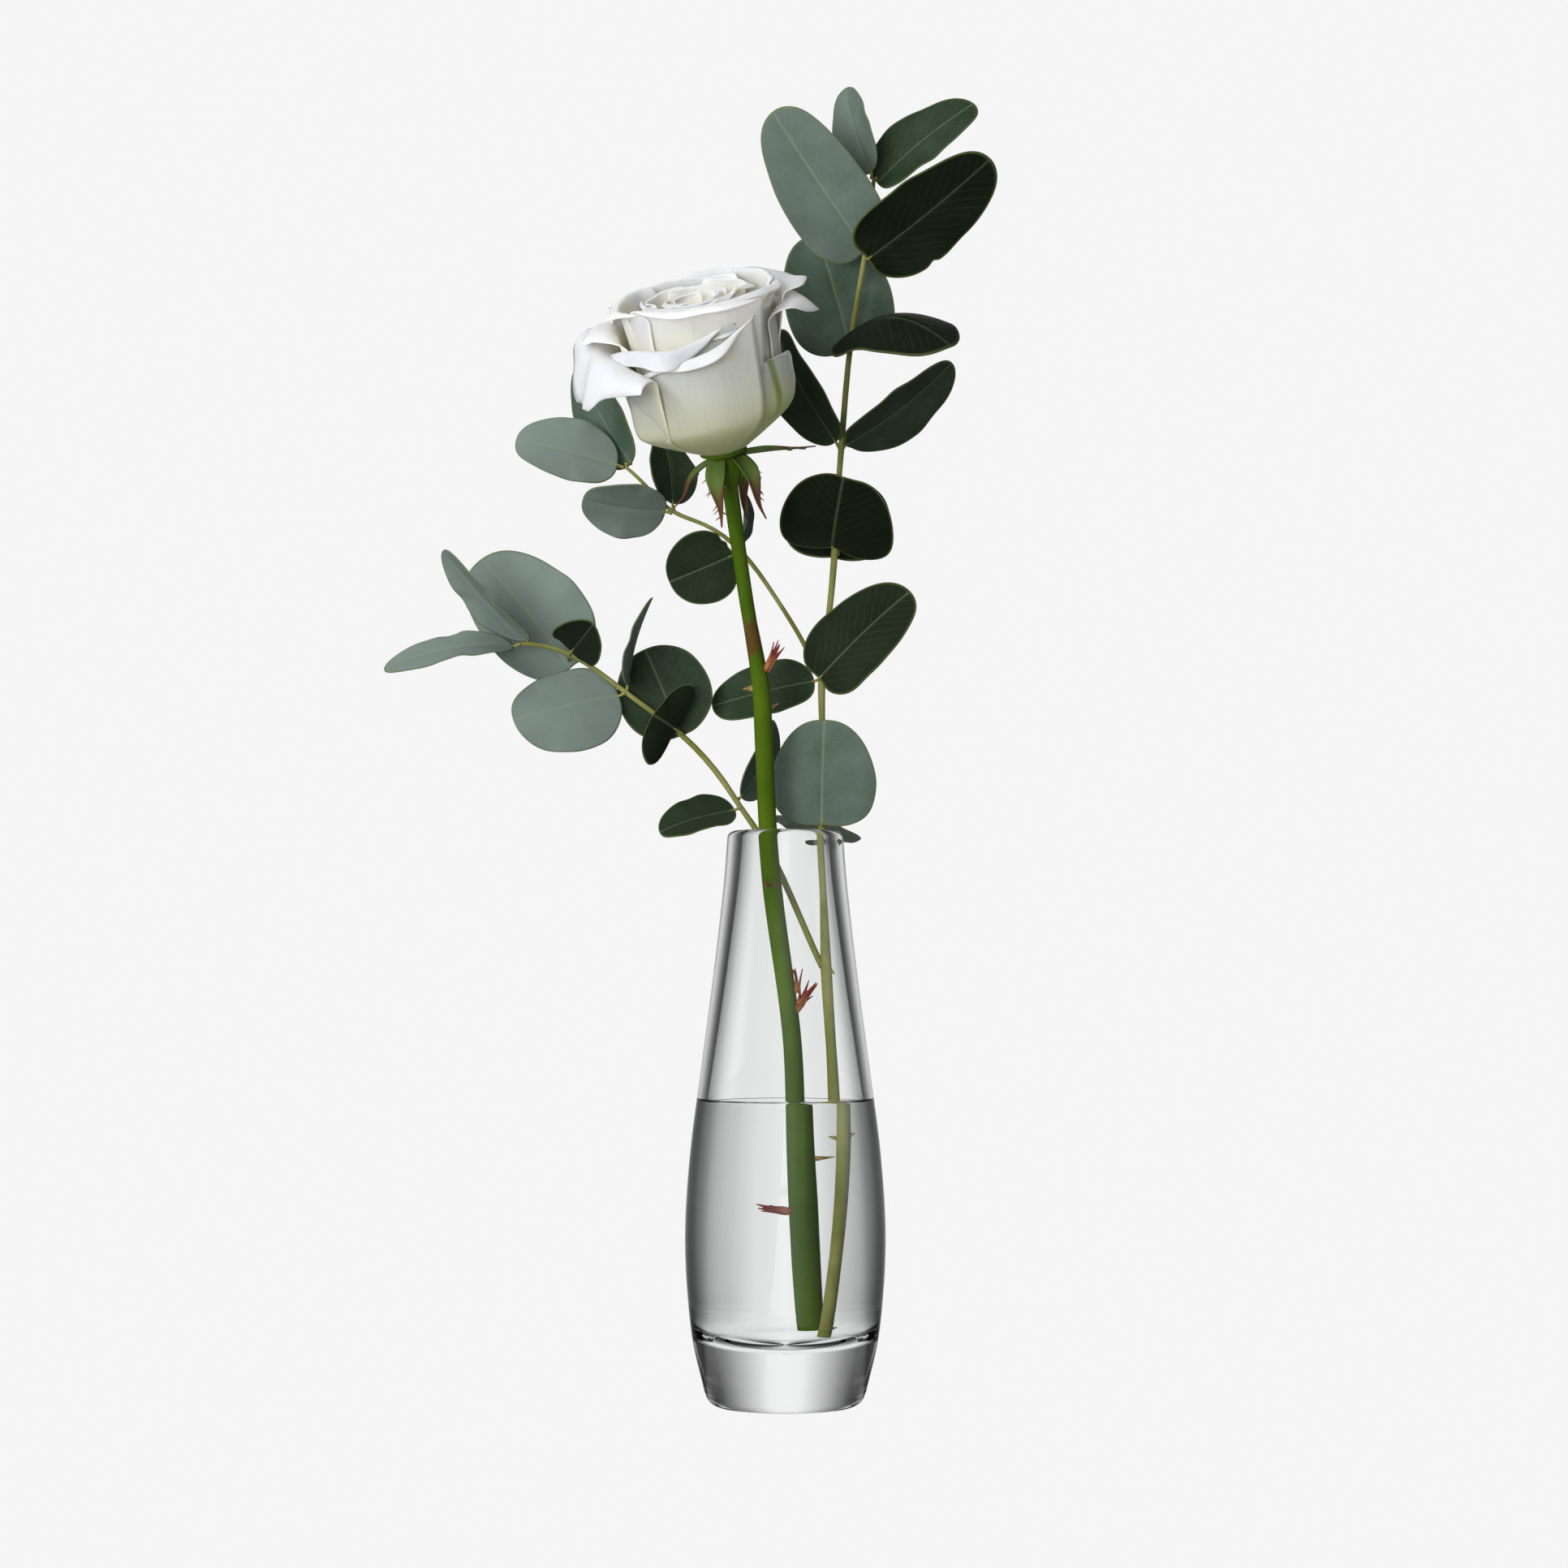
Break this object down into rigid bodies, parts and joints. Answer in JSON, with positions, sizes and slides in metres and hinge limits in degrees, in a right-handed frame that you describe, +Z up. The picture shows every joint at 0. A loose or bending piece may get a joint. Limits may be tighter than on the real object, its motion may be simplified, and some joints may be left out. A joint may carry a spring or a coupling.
{
  "type": "glass bud vase with cut stems",
  "caption": "Clear glass bud vase with a narrow neck and heavy foot, part filled with water, holding a cut rose and a eucalyptus spray that each lift out.",
  "frame": {"origin": "centre of the flat face under the vase", "axes": "+Z up along the vase's axis, -Y towards the front, +X to the right of a person facing the front"},
  "size_m": [0.1836, 0.0971, 0.3993],
  "materials": {
    "clear_glass": "polished",
    "water": "polished",
    "rose_stem": "satin",
    "thorn": "satin",
    "bud": "matte",
    "sepal": "matte",
    "petal": "matte",
    "twig": "matte",
    "leaf": "matte"
  },
  "bodies": {
    "vase": {"glass_body": "clear_glass", "water": "water"},
    "rose": {"rose_stem": "rose_stem", "rose_hip": "rose_stem", "rose_thorns": "thorn", "rose_side_buds": "bud", "torn_shoot": "bud", "sepal_1": "sepal", "sepal_2": "sepal", "sepal_3": "sepal", "sepal_4": "sepal", "sepal_5": "sepal", "outer_petal_1": "petal", "outer_petal_2": "petal", "outer_petal_3": "petal", "outer_petal_4": "petal", "outer_petal_5": "petal", "middle_petal_1": "petal", "middle_petal_2": "petal", "middle_petal_3": "petal", "middle_petal_4": "petal", "middle_petal_5": "petal", "inner_petals": "petal", "heart_petals": "petal"},
    "eucalyptus": {"eucalyptus_stem": "twig", "low_branch": "twig", "high_branch": "twig", "twig_stubs": "twig", "main_leaf_1": "leaf", "main_leaf_2": "leaf", "main_leaf_3": "leaf", "main_leaf_4": "leaf", "main_leaf_5": "leaf", "main_leaf_6": "leaf", "main_leaf_7": "leaf", "main_leaf_8": "leaf", "main_leaf_9": "leaf", "main_leaf_10": "leaf", "main_leaf_11": "leaf", "main_leaf_12": "leaf", "main_leaf_13": "leaf", "main_leaf_14": "leaf", "low_leaf_1": "leaf", "low_leaf_2": "leaf", "low_leaf_3": "leaf", "low_leaf_4": "leaf", "low_leaf_5": "leaf", "low_leaf_6": "leaf", "low_leaf_7": "leaf", "low_leaf_8": "leaf", "low_leaf_9": "leaf", "low_leaf_10": "leaf", "high_leaf_1": "leaf", "high_leaf_2": "leaf", "high_leaf_3": "leaf", "high_leaf_4": "leaf", "high_leaf_5": "leaf", "high_leaf_6": "leaf"}
  },
  "joints": [
    {"name": "rose_lift", "type": "slide", "parent": "vase", "child": "rose", "axis": [-0.0578, -0.0697, 0.9959], "range_m": [0, 0.18], "deforming": ["water"]},
    {"name": "eucalyptus_lift", "type": "slide", "parent": "vase", "child": "eucalyptus", "axis": [-0.0598, 0.0479, 0.9971], "range_m": [0, 0.18], "deforming": ["water"]}
  ]
}
